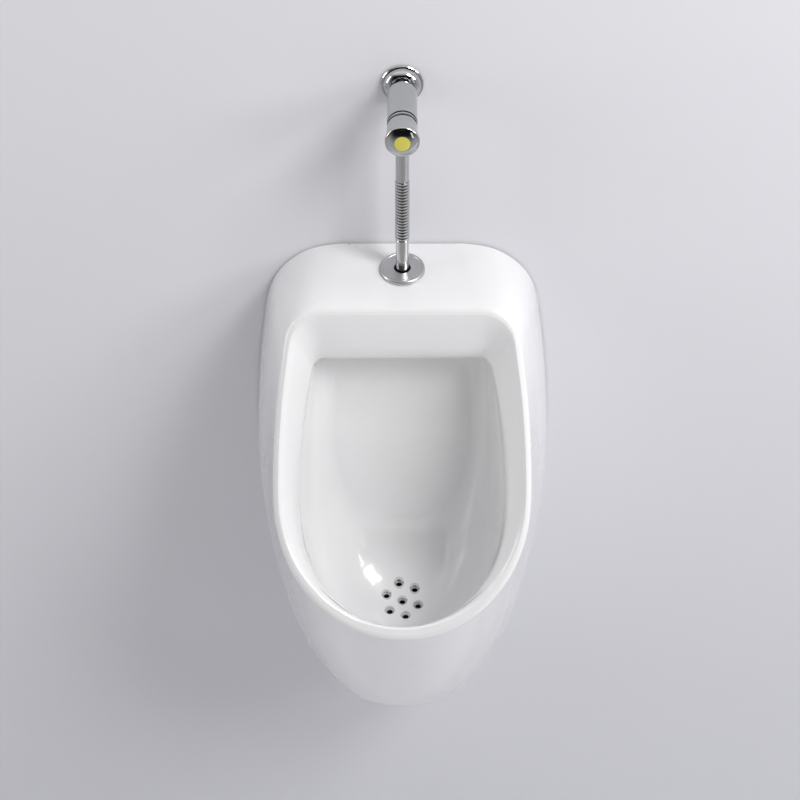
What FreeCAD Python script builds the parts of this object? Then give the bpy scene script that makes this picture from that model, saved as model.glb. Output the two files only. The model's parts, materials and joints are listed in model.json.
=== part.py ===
# Wall-hung urinal with a push-button flush valve.
# Z is up, X runs along the wall and the wall is the plane Y = 0, so depth from the wall runs towards -Y.
# The origin lies on the wall, at the middle of the four hanger screws. All sizes are millimetres.
import FreeCAD, Part
import math
import os

V = FreeCAD.Vector
X_AXIS = V(1, 0, 0)
Y_AXIS = V(0, 1, 0)
Z_AXIS = V(0, 0, 1)

# Clearances and the overrun that every cut takes past a face
OVERRUN = 1.0
SEAT_GAP = 0.3
THREAD_GAP = 0.05
RUNNING_GAP = 0.08
SLIDING_GAP = 0.4

# Ceramic body: overall sizes
BODY_WIDTH = 374.0
BODY_HEIGHT = 655.0
BODY_DEPTH = 300.0
SKIN = 9.5
DECK_ABOVE_ORIGIN = 87.0
DECK_DEPTH = 105.0
DECK_DROP = 23.0
RIM_WIDTH = 316.0
LIP_DROP = 386.5
FOOT_ROUND = 7.0

# Ceramic body: opening, brow and bowl
RIM_ROUND = 9.0
RIM_LAND = 8.0
LIP_LAND = 6.0
MOUTH_WIDTH = 6.0
LIP_WIDTH = 20.0
LIP_RISE = 3.0
BROW_HEIGHT = 83.0
BROW_SET_BACK = 5.0
OPENING_WIDTH = 261.0
BOWL_BACK_DEPTH = 50.0
BOWL_CROWN = 22.0
BOWL_DROP = 476.0
BOWL_BACK_ROUND = 20.0

# Ceramic body: strainer, sump and outlet
DRAIN_HOLES = 6
DRAIN_RING_RADIUS = 21.8
DRAIN_HOLE_RADIUS = 3.5
DRAIN_BEVEL_RADIUS = 6.4
DRAIN_TURN = 11.6
STRAINER_THICKNESS = 10.0
SUMP_RADIUS = 28.0
SUMP_DEPTH = 84.0
HORN_RADIUS = 28.5
HORN_DROP = 528.0
HORN_MOUTH_DEPTH = 48.0

# Ceramic body: flush water chamber and its holes
CHAMBER_WIDTH = 160.0
CHAMBER_BACK_DEPTH = 27.0
SPRAY_HOLES = 7
SPRAY_HOLE_RADIUS = 2.5
SPRAY_PITCH = 20.0
INLET_HOLE_RADIUS = 17.5

# Hangers
HANGER_SCREW_PITCH = 40.0
HANGER_HOLE_RADIUS = 4.2
HANGER_WIDTH = 36.0
HANGER_STEEL = 3.0
HANGER_PLATE_HEIGHT = 68.0
HANGER_FINGER = 14.0
LINER_THICKNESS = 1.5
WEB_THICKNESS = 12.0

# Flush pipe and its deck cover
PIPE_DEPTH = 47.0
PIPE_RADIUS = 8.0
PIPE_WALL = 0.9
PIPE_COLLAR_RADIUS = 10.5
PIPE_COLLAR = 1.5
PIPE_IN_CHAMBER = 34.0
RIBS = 20
RIB_PITCH = 4.2
RIB_CREST_RADIUS = 8.65
RIB_ROOT_RADIUS = 7.2
RIBS_ABOVE_DECK = 42.0
RIB_LEAD = 1.2
SEAL_HEIGHT = 14.0
SEAL_LIP = 1.0
DECK_FALL_AT_PIPE = 5.6
COVER_RADIUS = 27.5
COVER_FACE_RADIUS = 23.5
COVER_HOLE_RADIUS = 10.3
COVER_HEIGHT = 4.4
COVER_STEEL = 0.9
COVER_TILT = 7.0
COVER_ROLL_ANGLE = 150.0

# Flush valve: every length runs out from the wall along the valve's axis
VALVE_ABOVE_DECK = 229.0
BODY_RADIUS = 17.5
BODY_START = 24.0
BODY_END = 84.8
NECK_RADIUS = 13.0
NECK_START = 3.0
NIPPLE_RADIUS = 10.45
NIPPLE_BORE_RADIUS = 7.0
NIPPLE_IN_WALL = 18.0
NIPPLE_IN_BODY = 11.0
NIPPLE_LEAD = 1.2
NIPPLE_RELIEF = 1.0
FILTER_THICKNESS = 0.8
FILTER_HOLE_RADIUS = 1.5
WEB_LENGTH = 3.0
INLET_CHAMBER_RADIUS = 11.0
INLET_CHAMBER_LENGTH = 16.0
BORE_RADIUS = 12.5
SEAT_LENGTH = 4.0
SEAT_BORE_RADIUS = 6.5
SEAT_LIP = 1.2
CAGE_LENGTH = 20.0
CAGE_WALL = 3.0
CAGE_WINDOWS = 4
CAGE_WINDOW_WIDTH = 9.0
OUTLET_BORE_RADIUS = 7.4
BOSS_RADIUS = 13.2
BOSS_DROP = 31.0
NUT_RADIUS = 16.5
NUT_HEIGHT = 17.0
NUT_FLANGE = 3.0
NUT_SIDES = 6
GASKET_THICKNESS = 2.0
FLANGE_RADIUS = 25.0
FLANGE_HEIGHT = 12.0
FLANGE_RIM = 1.8
FLANGE_RIM_WIDTH = 2.4
FLANGE_STEEL = 1.0
FLANGE_DOME_ANGLE = 8.0

# Bonnet, plunger and button
BONNET_GASKET = 2.5
COLLAR_RADIUS = 17.2
COLLAR_LENGTH = 2.7
SLEEVE_RADIUS = 15.2
SLEEVE_WALL = 3.0
SLEEVE_LENGTH = 20.0
DASH_RADIUS = 8.6
DASH_LENGTH = 19.0
GLAND_LENGTH = 8.0
SEAL_WIDTH = 2.0
STEM_RADIUS = 3.0
POPPET_RADIUS = 9.4
POPPET_BASE = 3.0
WASHER_THICKNESS = 4.0
WASHER_RADIUS = 8.4
PISTON_LENGTH = 5.0
CUP_LENGTH = 3.0
CUP_FLOOR = 1.0
BUTTON_TRAVEL = 4.0
BUTTON_RADIUS = 20.0
BUTTON_WALL = 1.9
BUTTON_SKIRT = 25.5
BUTTON_CHEEK = 9.6
BUTTON_DOME = 4.0
DISC_RADIUS = 9.2
DISC_DEPTH = 2.4
DISC_CROWN = 0.8
SCREW_RADIUS = 2.0
SCREW_HEAD_RADIUS = 3.6
SCREW_HEAD = 2.6
SCREW_LENGTH = 16.0
BUTTON_WEB = 3.0
BUTTON_ROUND = 2.4
BUTTON_EDGE_ANGLE = 30.0
BUTTON_DOME_ANGLES = (66.0, 32.0)
BUTTON_SPRING_RADIUS = 8.6
BUTTON_SPRING_WIRE = 1.3
BUTTON_SPRING_TURNS = 6
POPPET_SPRING_RADIUS = 7.4
POPPET_SPRING_WIRE = 0.8
POPPET_SPRING_TURNS = 2

# Waste connection behind the bowl
WASTE_RADIUS = 25.0
WASTE_WALL = 2.0
WASTE_IN_HORN = 38.0
WASTE_IN_WALL = 30.0
SPIGOT_STEP = 0.6
WASTE_COLLAR_RADIUS = 31.0
WASTE_COLLAR = 4.0
WASTE_SEAL_LENGTH = 24.0
WALL_RING_RADIUS = 38.0
WALL_RING_THICKNESS = 8.0
SEAL_FLANGE = 3.0

# Outlines of the body, from the wall to the rim. In each row: the top's depth and drop as shares of the
# deck's, the bottom's depth and drop as shares of the body's, half width, widest height, corner, lean and
# fullness.
BODY_OUTLINE_SHARES = [
    (0.0, 0.0, 0.0, 1.105, 1.0, 0.396, 0.508, 0.176, 1.65),
    (0.429, 0.196, 0.296, 1.1265, 0.984, 0.418, 0.435, 0.176, 1.78),
    (0.762, 0.522, 0.573, 0.977, 0.9205, 0.412, 0.36, 0.176, 2.13),
]
RIM_OUTLINE_SHARES = (0.57, 0.304, 0.169, 2.0)

# Outlines of the bowl, from the opening to its back wall. In each row: the top's way from back to brow, its
# drop in the crown, the bottom's depth and its drop from lip to floor, half width, widest height, corner,
# lean, fullness, and how far the outline moves towards the wall when the bowl's wall is added.
BOWL_OUTLINE_SHARES = [
    (1.0, 0.0, 1.0, 0.0, 1.0, 0.524, 0.107, 0.247, 2.0, 0.0),
    (0.62, 0.06, 0.93, 0.5, 0.98, 0.51, 0.15, 0.2, 2.1, 0.0),
    (0.32, 0.18, 0.74, 0.98, 0.94, 0.5, 0.2, 0.16, 2.25, 0.2),
    (0.1, 0.42, 0.5, 0.93, 0.88, 0.49, 0.24, 0.12, 2.35, 0.6),
    (0.03, 0.8, 0.345, 0.55, 0.8, 0.48, 0.28, 0.08, 2.4, 0.85),
    (0.0, 1.5, 0.262, 0.08, 0.66, 0.47, 0.3, 0.05, 2.4, 1.0),
]

# How far from the opening its round edge starts, on the cheek and in the bowl, as shares of the way to the
# next outline, and how much of an edge's height its rounding takes away
CHEEK_ROUND_SHARE = 0.55
BOWL_ROUND_SHARE = 0.4
ROUNDING_SHARE = 0.5

# Places that follow the body: the hangers' screws in its width, and the strainer in the bowl's depth
HANGER_PLACE_SHARE = 0.615
DRAIN_PLACE_SHARE = 0.52

# Points on half an outline: along the top, round the corner, down the side and round the bottom
OUTLINE_STEPS = (6, 4, 8, 11)

# Angles in degrees
FULL_TURN = 360.0
HALF_TURN = 180.0
QUARTER_TURN = 90.0

# Rings of one rib as shares of the pitch, and the holes of the inlet's filter
RIB_SHARES = (0.0, 0.2, 0.55, 0.75)
FILTER_HOLES = 6
FILTER_RING_SHARE = 0.55

# Heights and places that follow from the sizes above
DECK_Z = DECK_ABOVE_ORIGIN
FOOT_Z = DECK_Z - BODY_HEIGHT
HANG_Z = HANGER_PLATE_HEIGHT / 2
WEB_FOOT_Z = HANG_Z + LINER_THICKNESS + SEAT_GAP
VALVE_Z = DECK_Z + VALVE_ABOVE_DECK
DRAIN_FLOOR_Z = DECK_Z - BOWL_DROP
HORN_Z = DECK_Z - HORN_DROP
BROW_Z = DECK_Z - DECK_DROP - BROW_HEIGHT
BROW_DEPTH = DECK_DEPTH - BROW_SET_BACK
LIP_DEPTH = BODY_DEPTH - LIP_WIDTH
DRAIN_DEPTH = DRAIN_PLACE_SHARE * LIP_DEPTH
HANGER_X = HANGER_PLACE_SHARE * BODY_WIDTH / 2
DECK_AT_PIPE = DECK_Z - DECK_FALL_AT_PIPE
PIPE_TOP_Z = VALVE_Z - BOSS_DROP - GASKET_THICKNESS
WEB_START = NECK_START + NIPPLE_IN_BODY + FILTER_THICKNESS
WEB_END = WEB_START + WEB_LENGTH
SEAT_START = WEB_END + INLET_CHAMBER_LENGTH
SEAT_END = SEAT_START + SEAT_LENGTH
CAGE_END = SEAT_END + CAGE_LENGTH
GLAND_START = CAGE_END + DASH_LENGTH
GLAND_END = GLAND_START + GLAND_LENGTH
COLLAR_START = BODY_END + BONNET_GASKET
COLLAR_END = COLLAR_START + COLLAR_LENGTH
SLEEVE_END = COLLAR_END + SLEEVE_LENGTH
BUTTON_START = COLLAR_END + BUTTON_TRAVEL + SEAT_GAP + SLIDING_GAP
BUTTON_WEB_START = BUTTON_START + BUTTON_SKIRT
BUTTON_WEB_END = BUTTON_WEB_START + BUTTON_WEB
BUTTON_END = BUTTON_WEB_END + SCREW_HEAD + DISC_DEPTH + DISC_CROWN
DISC_START = BUTTON_WEB_END + SCREW_HEAD + THREAD_GAP
STEM_END = BUTTON_WEB_START
POPPET_START = SEAT_START - SEAT_LIP - SEAT_GAP - WASHER_THICKNESS - POPPET_BASE
PISTON_START = GLAND_START - CUP_LENGTH - PISTON_LENGTH - SEAT_GAP


def arc_share(step, steps):
    """Angle from the outline's side to its far end, in radians."""
    return math.pi / 2 * step / steps


def half_outline(length, half, widest, corner, lean, fullness):
    """Right half of a shield: flat top, rounded corner, leaning side and round bottom, as (x, down) pairs."""
    top_steps, corner_steps, side_steps, bottom_steps = OUTLINE_STEPS
    lean_angle = math.atan(lean)
    side_top = corner * (1 - math.sin(lean_angle))
    side_drop = widest - side_top
    side_in = lean * side_drop / 2
    corner_x = half - side_in - corner * math.cos(lean_angle)
    points = []
    for step in range(top_steps):
        points.append((corner_x * step / top_steps, 0.0))
    for step in range(corner_steps):
        angle = math.pi / 2 - (math.pi / 2 - lean_angle) * step / corner_steps
        points.append((corner_x + corner * math.cos(angle), corner - corner * math.sin(angle)))
    for step in range(side_steps):
        left = 1 - step / side_steps
        points.append((half - side_in * left ** 2, widest - side_drop * left))
    for step in range(bottom_steps):
        angle = arc_share(step, bottom_steps)
        across = math.cos(angle)
        down = math.sin(angle)
        reach = (across ** fullness + down ** fullness) ** (-1 / fullness)
        points.append((half * reach * across, widest + (length - widest) * reach * down))
    points.append((0.0, length))
    return points


def outline(top, bottom, half, widest_share, corner, lean, fullness, grow):
    """Closed shield in the plane through X and the line from top to bottom, both (depth, height) pairs,
    moved outwards within its plane by a length to grow."""
    start = V(0, -top[0], top[1])
    down = V(0, -bottom[0], bottom[1]).sub(start)
    length = down.Length + 2 * grow
    widest = widest_share * down.Length + grow
    down.normalize()
    start = start - down * grow
    right = half_outline(length, half + grow, widest, corner + grow, lean, fullness)
    left = [(-x, s) for x, s in reversed(right[1:-1])]
    points = [start + V(x, 0, 0) + down * s for x, s in right + left]
    curve = Part.BSplineCurve()
    curve.interpolate(Points=points, PeriodicFlag=True, Parameters=[float(i) for i in range(len(points) + 1)])
    return curve


def body_outline(row, grow):
    """One outline of the outer body."""
    top_depth, top_drop, foot_depth, foot_drop, half, widest, corner, lean, fullness = row
    half_width = half * BODY_WIDTH / 2
    top = (top_depth * DECK_DEPTH, DECK_Z - top_drop * DECK_DROP)
    foot = (foot_depth * BODY_DEPTH, DECK_Z - foot_drop * BODY_HEIGHT)
    return outline(top, foot, half_width, widest, corner * half_width, lean, fullness, grow)


def rim_outline(grow, back, lip=0.0):
    """The rim's outline, moved back towards the wall, and drawn in at the lip."""
    widest, corner, lean, fullness = RIM_OUTLINE_SHARES
    half_width = RIM_WIDTH / 2
    round_corner = corner * half_width
    top = V(0, back - DECK_DEPTH, DECK_Z - DECK_DROP)
    foot = V(0, back - BODY_DEPTH, DECK_Z - LIP_DROP)
    foot = foot + (top - foot).normalize() * lip
    ends = [(-point.y, point.z) for point in (top, foot)]
    return outline(*ends, half_width, widest, round_corner, lean, fullness, grow)


def bowl_outline(row, wall):
    """One outline of the bowl, or of the outside of the bowl's wall when its thickness is given."""
    way, crown, foot_depth, foot_drop, half, widest, corner, lean, fullness, back = row
    half_width = half * OPENING_WIDTH / 2
    top_depth = BOWL_BACK_DEPTH + way * (BROW_DEPTH - BOWL_BACK_DEPTH) - back * wall
    top = (top_depth, BROW_Z - crown * BOWL_CROWN)
    foot_fall = LIP_DROP - LIP_RISE + foot_drop * (BOWL_DROP - LIP_DROP + LIP_RISE)
    foot = (foot_depth * LIP_DEPTH - back * wall, DECK_Z - foot_fall)
    return outline(top, foot, half_width, widest, corner * half_width, lean, fullness, wall)


def between(near, far, share):
    """Outline part of the way from one outline to another of the same make."""
    middle = near.copy()
    for index, (start, end) in enumerate(zip(near.getPoles(), far.getPoles())):
        middle.setPole(index + 1, start + (end - start) * share)
    return middle


def round_edge(before, edge, after):
    """The three outlines that round an edge: the one before it, the edge drawn in, and the one after it."""
    return [before, between(edge, between(before, after, 1 / 2), ROUNDING_SHARE), after]


def distance(near, far):
    """Mean distance between the poles of two outlines."""
    lengths = [(end - start).Length for start, end in zip(near.getPoles(), far.getPoles())]
    return sum(lengths) / len(lengths)


def spacing(outlines):
    """Places of outlines along their skin, as far apart as the outlines are."""
    places = [0.0]
    for near, far in zip(outlines, outlines[1:]):
        places.append(places[-1] + distance(near, far))
    return places


def skin(outlines, places=None):
    """Solid whose side runs smoothly through outlines of one make, closed by a flat face at either end."""
    places = places or [float(i) for i in range(len(outlines))]
    columns = []
    for poles in zip(*[curve.getPoles() for curve in outlines]):
        column = Part.BSplineCurve()
        column.interpolate(Points=list(poles), Parameters=places)
        columns.append(column)
    along = outlines[0]
    across = columns[0]
    surface = Part.BSplineSurface()
    surface.buildFromPolesMultsKnots(
        [column.getPoles() for column in columns],
        along.getMultiplicities(),
        across.getMultiplicities(),
        along.getKnots(),
        across.getKnots(),
        True,
        False,
        along.Degree,
        across.Degree,
    )
    side = surface.toShape()
    ends = [Part.Face(Part.Wire([edge])) for edge in side.Edges if edge.isClosed()]
    shell = Part.Shell([side] + ends)
    shell.sewShape()
    return Part.Solid(shell)


def box(x_size, depth_near, depth_far, z_low, z_high):
    """Box centred on X, between two depths from the wall and two heights."""
    return Part.makeBox(x_size, depth_far - depth_near, z_high - z_low, V(-x_size / 2, -depth_far, z_low))


def upright(radius, depth, z_low, z_high, x=0.0):
    """Upright cylinder."""
    return Part.makeCylinder(radius, z_high - z_low, V(x, -depth, z_low))


def level(radius, depth_near, depth_far, z, x=0.0):
    """Cylinder whose axis runs out from the wall."""
    return Part.makeCylinder(radius, depth_far - depth_near, V(x, -depth_far, z), Y_AXIS)


def outer_body():
    """Outside of the ceramic, from the wall to the rim, with a flat foot."""
    wires = [body_outline(row, 0.0) for row in BODY_OUTLINE_SHARES] + [rim_outline(0.0, 0.0)]
    body = skin(wires)
    foot = box(2 * BODY_WIDTH, -BODY_DEPTH, 2 * BODY_DEPTH, FOOT_Z - BODY_HEIGHT, FOOT_Z)
    body = body.cut(foot)
    low = [edge for edge in body.Edges if edge.BoundBox.ZMax < FOOT_Z + SEAT_GAP]
    front = [edge for edge in low if edge.BoundBox.YLength > SKIN]
    return body.makeFillet(FOOT_ROUND, front)


def rounded(body, width, radius):
    """Body with its closed edge that comes nearest to a given width rounded."""
    closed = [edge for edge in body.Edges if edge.isClosed()]
    edge = min(closed, key=lambda one: abs(one.BoundBox.XLength - width))
    return body.makeFillet(radius, [edge])


def bowl():
    """Hollow from the rim through the brow's panel and the cheeks into the bowl, with rounded edges."""
    land = rim_outline(MOUTH_WIDTH - RIM_LAND, -OVERRUN, LIP_LAND)
    mouth = rim_outline(-RIM_LAND, 0.0, LIP_LAND)
    opening, *inner = [bowl_outline(row, 0.0) for row in BOWL_OUTLINE_SHARES]
    cheek_start = between(mouth, opening, MOUTH_WIDTH / distance(mouth, opening))
    cheek_end = between(opening, mouth, CHEEK_ROUND_SHARE)
    bowl_start = between(opening, inner[0], BOWL_ROUND_SHARE)
    mouth_edge = round_edge(land, mouth, cheek_start)
    opening_edge = round_edge(cheek_end, opening, bowl_start)
    outlines = mouth_edge + opening_edge + inner
    return skin(outlines, spacing(outlines))


def bowl_wall_outside():
    """Outside of the bowl's and the cheeks' wall, which the hollow back goes round."""
    wires = [bowl_outline(row, SKIN) for row in BOWL_OUTLINE_SHARES]
    cheeks = skin([rim_outline(-RIM_LAND, SKIN, LIP_LAND), wires[0]])
    return skin(wires), cheeks


def chamber(grow):
    """Flush water chamber under the deck, or its block when grown by a wall."""
    low = BROW_Z + SKIN - grow
    high = DECK_Z - DECK_DROP + grow
    near = CHAMBER_BACK_DEPTH - grow
    far = BROW_DEPTH - SKIN + 2 * grow
    return box(CHAMBER_WIDTH + 2 * grow, near, far, low, high)


def sump(grow):
    """Sump under the strainer and the outlet horn towards the wall, or their block when grown by a wall."""
    top = DRAIN_FLOOR_Z - STRAINER_THICKNESS + grow
    foot = top - SUMP_DEPTH - grow
    well = upright(SUMP_RADIUS + grow, DRAIN_DEPTH, foot, top)
    horn = level(HORN_RADIUS + grow, HORN_MOUTH_DEPTH, DRAIN_DEPTH, HORN_Z)
    return well.fuse(horn)


def hollow_back():
    """Hollow behind the bowl, open to the wall, that leaves the skin, the bowl, the chamber and the webs."""
    wires = [body_outline(row, -SKIN) for row in BODY_OUTLINE_SHARES] + [rim_outline(-SKIN, SKIN)]
    hollow = skin(wires)
    floor = box(2 * BODY_WIDTH, -BODY_DEPTH, 2 * BODY_DEPTH, FOOT_Z - BODY_HEIGHT, FOOT_Z + SKIN)
    hollow = hollow.cut(floor)
    for block in bowl_wall_outside():
        hollow = hollow.cut(block)
    hollow = hollow.cut(chamber(SKIN))
    hollow = hollow.cut(box(BODY_WIDTH, -OVERRUN, WEB_THICKNESS, WEB_FOOT_Z, DECK_Z))
    hollow = hollow.cut(sump(SKIN))
    return max(hollow.Solids, key=lambda room: room.Volume)


def drain_places():
    """Centres of the strainer's holes as (x, depth) pairs: one in the middle and a ring round it."""
    places = [(0.0, DRAIN_DEPTH)]
    for hole in range(DRAIN_HOLES):
        angle = math.radians(DRAIN_TURN) + 2 * math.pi * hole / DRAIN_HOLES
        x = -DRAIN_RING_RADIUS * math.sin(angle)
        places.append((x, DRAIN_DEPTH - DRAIN_RING_RADIUS * math.cos(angle)))
    return places


def drill_drain(body):
    """Strainer holes through the bowl's floor, each with a bevelled mouth."""
    low = DRAIN_FLOOR_Z - STRAINER_THICKNESS - OVERRUN
    high = DRAIN_FLOOR_Z + 2 * STRAINER_THICKNESS
    bevel = DRAIN_BEVEL_RADIUS - DRAIN_HOLE_RADIUS
    wide = DRAIN_BEVEL_RADIUS + OVERRUN
    hollow = bowl()
    drills = []
    for x, depth in drain_places():
        floor = Part.makeLine(V(x, -depth, low), V(x, -depth, high)).common(hollow).BoundBox.ZMin
        cone = Part.makeCone(DRAIN_HOLE_RADIUS, wide, bevel + OVERRUN, V(x, -depth, floor - bevel))
        drills.append(upright(DRAIN_HOLE_RADIUS, depth, low, high, x).fuse(cone))
    return body.cut(Part.makeCompound(drills))


def spray_holes():
    """Row of holes from the chamber down into the top of the bowl."""
    depth = (BOWL_BACK_DEPTH + BROW_DEPTH) / 2
    holes = []
    for hole in range(SPRAY_HOLES):
        x = (hole - (SPRAY_HOLES - 1) / 2) * SPRAY_PITCH
        holes.append(upright(SPRAY_HOLE_RADIUS, depth, BROW_Z - SKIN, BROW_Z + SKIN + OVERRUN, x))
    return Part.makeCompound(holes)


def ceramic_body():
    """Glazed ceramic body with bowl, brow, flush chamber, strainer, sump and hollow back."""
    body = outer_body()
    body = rounded(body, RIM_WIDTH, RIM_ROUND)
    body = body.cut(bowl())
    body = rounded(body, OPENING_WIDTH * BOWL_OUTLINE_SHARES[-1][4], BOWL_BACK_ROUND)
    body = body.cut(hollow_back())
    body = body.cut(chamber(0.0))
    body = body.cut(sump(0.0))
    body = body.cut(upright(INLET_HOLE_RADIUS, PIPE_DEPTH, DECK_Z - DECK_DROP - OVERRUN, DECK_Z + OVERRUN))
    seat = upright(COVER_RADIUS + SEAT_GAP, PIPE_DEPTH, DECK_AT_PIPE, DECK_AT_PIPE + DECK_DROP)
    body = body.cut(tilted(seat))
    body = body.cut(spray_holes())
    return drill_drain(body)


def revolve(profile, place, axis_point, axis):
    """Solid of revolution of a closed profile, in which two numbers are a corner and four are an arc's middle
    and end."""
    edges = []
    here = place(*profile[0])
    for item in profile[1:] + profile[:1]:
        there = place(*item[-2:])
        if len(item) > 2:
            edges.append(Part.Arc(here, place(*item[:2]), there).toShape())
        else:
            edges.append(Part.makeLine(here, there))
        here = there
    return Part.Face(Part.Wire(edges)).revolve(axis_point, axis, FULL_TURN)


def turned(profile, z):
    """Piece turned about a level axis that runs out from the wall, from a profile in depth and radius."""
    return revolve(profile, lambda depth, radius: V(0, -depth, z + radius), V(0, 0, z), Y_AXIS)


def spun(profile, depth):
    """Piece turned about an upright axis, from a profile in radius and height."""
    return revolve(profile, lambda radius, height: V(radius, -depth, height), V(0, -depth, 0), Z_AXIS)


def bend(centre, radii, start, end):
    """Corner and arc that round a profile about a centre, between two angles from the first coordinate."""
    points = []
    for angle in (start, (start + end) / 2, end):
        turn = math.radians(angle)
        points.append((centre[0] + radii[0] * math.cos(turn), centre[1] + radii[1] * math.sin(turn)))
    return [points[0], points[1] + points[2]]


def hanger_bracket(side):
    """Bent steel strip screwed to the wall, with a hook that the ceramic's web sits in."""
    x = side * HANGER_X - HANGER_WIDTH / 2
    hook_depth = WEB_THICKNESS + LINER_THICKNESS + 2 * SEAT_GAP + HANGER_STEEL
    foot = HANG_Z - HANGER_PLATE_HEIGHT
    seat = HANG_Z - HANGER_STEEL
    profile = [
        (0.0, foot),
        (HANGER_STEEL, foot),
        (HANGER_STEEL, seat),
        (hook_depth, seat),
        (hook_depth, HANG_Z + HANGER_FINGER),
        (hook_depth - HANGER_STEEL, HANG_Z + HANGER_FINGER),
        (hook_depth - HANGER_STEEL, HANG_Z),
        (0.0, HANG_Z),
    ]
    points = [V(x, -depth, z) for depth, z in profile]
    strip = Part.Face(Part.makePolygon(points + [points[0]])).extrude(V(HANGER_WIDTH, 0, 0))
    for z in (-HANGER_SCREW_PITCH / 2, HANGER_SCREW_PITCH / 2):
        strip = strip.cut(level(HANGER_HOLE_RADIUS, -OVERRUN, HANGER_STEEL + OVERRUN, z, side * HANGER_X))
    return strip


def hanger_liners():
    """Two soft angle strips between the hooks and the ceramic's web."""
    liners = []
    for side in (-1, 1):
        x = side * HANGER_X - HANGER_WIDTH / 2
        near = WEB_THICKNESS + SEAT_GAP
        far = near + LINER_THICKNESS
        profile = [
            (0.0, HANG_Z),
            (far, HANG_Z),
            (far, HANG_Z + HANGER_FINGER),
            (near, HANG_Z + HANGER_FINGER),
            (near, HANG_Z + LINER_THICKNESS),
            (0.0, HANG_Z + LINER_THICKNESS),
        ]
        points = [V(x, -depth, z) for depth, z in profile]
        liners.append(Part.Face(Part.makePolygon(points + [points[0]])).extrude(V(HANGER_WIDTH, 0, 0)))
    return Part.makeCompound(liners)


def tilted(shape):
    """Shape laid on the sloping deck where the pipe passes through."""
    shape.rotate(V(0, -PIPE_DEPTH, DECK_AT_PIPE), X_AXIS, COVER_TILT)
    return shape


def deck_cover():
    """Pressed steel cover disc round the pipe, with a rolled edge and open underneath."""
    base = DECK_AT_PIPE + SEAT_GAP
    roll = (COVER_RADIUS - COVER_FACE_RADIUS) / 2
    middle = COVER_RADIUS - roll
    crown = base + COVER_HEIGHT
    face = crown - roll / 2
    outside = [(COVER_RADIUS, base)] + bend((middle, crown - roll), (roll, roll), 0, COVER_ROLL_ANGLE)
    inside = [(COVER_FACE_RADIUS, face - COVER_STEEL), (COVER_RADIUS - COVER_STEEL, face - COVER_STEEL)]
    profile = outside + [(COVER_HOLE_RADIUS, face), (COVER_HOLE_RADIUS, face - COVER_STEEL)] + inside
    profile = profile + [(COVER_RADIUS - COVER_STEEL, base)]
    return tilted(spun(profile, PIPE_DEPTH))


def inlet_seal():
    """Rubber bush that seals the flush pipe in the deck's hole."""
    high = DECK_AT_PIPE - SEAT_GAP
    low = high - SEAL_HEIGHT
    outer = INLET_HOLE_RADIUS - THREAD_GAP
    inner = PIPE_RADIUS + THREAD_GAP
    lip = outer - SEAL_LIP
    lead = [(inner, low), (lip, low), (outer, low + SEAL_LIP)]
    shoulder = [(outer, high - SEAL_LIP), (lip, high - SEAL_LIP), (lip, high), (inner, high)]
    return spun(lead + shoulder, PIPE_DEPTH)


def rib_rings():
    """Radius and height of the circles along the ribbed stretch, four for each rib, from the lowest up."""
    radii = (RIB_ROOT_RADIUS, RIB_CREST_RADIUS, RIB_CREST_RADIUS, RIB_ROOT_RADIUS)
    rings = []
    for rib in range(RIBS):
        foot = DECK_Z + RIBS_ABOVE_DECK + rib * RIB_PITCH
        for radius, share in zip(radii, RIB_SHARES):
            rings.append((radius, foot + share * RIB_PITCH))
    return rings


def flush_pipe():
    """Flush pipe from the valve into the flush chamber, with a ribbed stretch that can bend at fitting."""
    low = DECK_Z - PIPE_IN_CHAMBER
    high = PIPE_TOP_Z
    collar = high - PIPE_COLLAR
    rings = rib_rings()
    rings = [(PIPE_RADIUS, low), (PIPE_RADIUS, rings[0][1] - RIB_LEAD)] + rings
    rings = rings + [(PIPE_RADIUS, rings[-1][1] + RIB_LEAD), (PIPE_RADIUS, high)]
    wires = [Part.Wire([Part.makeCircle(radius, V(0, -PIPE_DEPTH, z), Z_AXIS)]) for radius, z in rings]
    pipe = Part.makeLoft(wires, True, True)
    pipe = pipe.fuse(upright(PIPE_COLLAR_RADIUS, PIPE_DEPTH, collar, high))
    bore = min(PIPE_RADIUS, RIB_ROOT_RADIUS) - PIPE_WALL
    return pipe.cut(upright(bore, PIPE_DEPTH, low - OVERRUN, high + OVERRUN))


def pipe_gasket():
    """Flat ring between the valve's outlet and the pipe's collar."""
    bore = PIPE_RADIUS - PIPE_WALL
    ring = upright(PIPE_COLLAR_RADIUS, PIPE_DEPTH, PIPE_TOP_Z, PIPE_TOP_Z + GASKET_THICKNESS)
    return ring.cut(upright(bore, PIPE_DEPTH, PIPE_TOP_Z - OVERRUN, PIPE_TOP_Z + GASKET_THICKNESS + OVERRUN))


def coupling_nut():
    """Hexagonal union nut that draws the pipe's collar against the valve's outlet."""
    low = PIPE_TOP_Z - PIPE_COLLAR - NUT_FLANGE
    high = low + NUT_HEIGHT
    hexagon = []
    for corner in range(NUT_SIDES + 1):
        angle = 2 * math.pi * (corner + 1 / 2) / NUT_SIDES
        hexagon.append(V(NUT_RADIUS * math.cos(angle), NUT_RADIUS * math.sin(angle) - PIPE_DEPTH, low))
    nut = Part.Face(Part.makePolygon(hexagon)).extrude(V(0, 0, NUT_HEIGHT))
    nut = nut.cut(upright(BOSS_RADIUS + THREAD_GAP, PIPE_DEPTH, low + NUT_FLANGE, high + OVERRUN))
    return nut.cut(upright(PIPE_RADIUS + SEAT_GAP, PIPE_DEPTH, low - OVERRUN, high))


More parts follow.
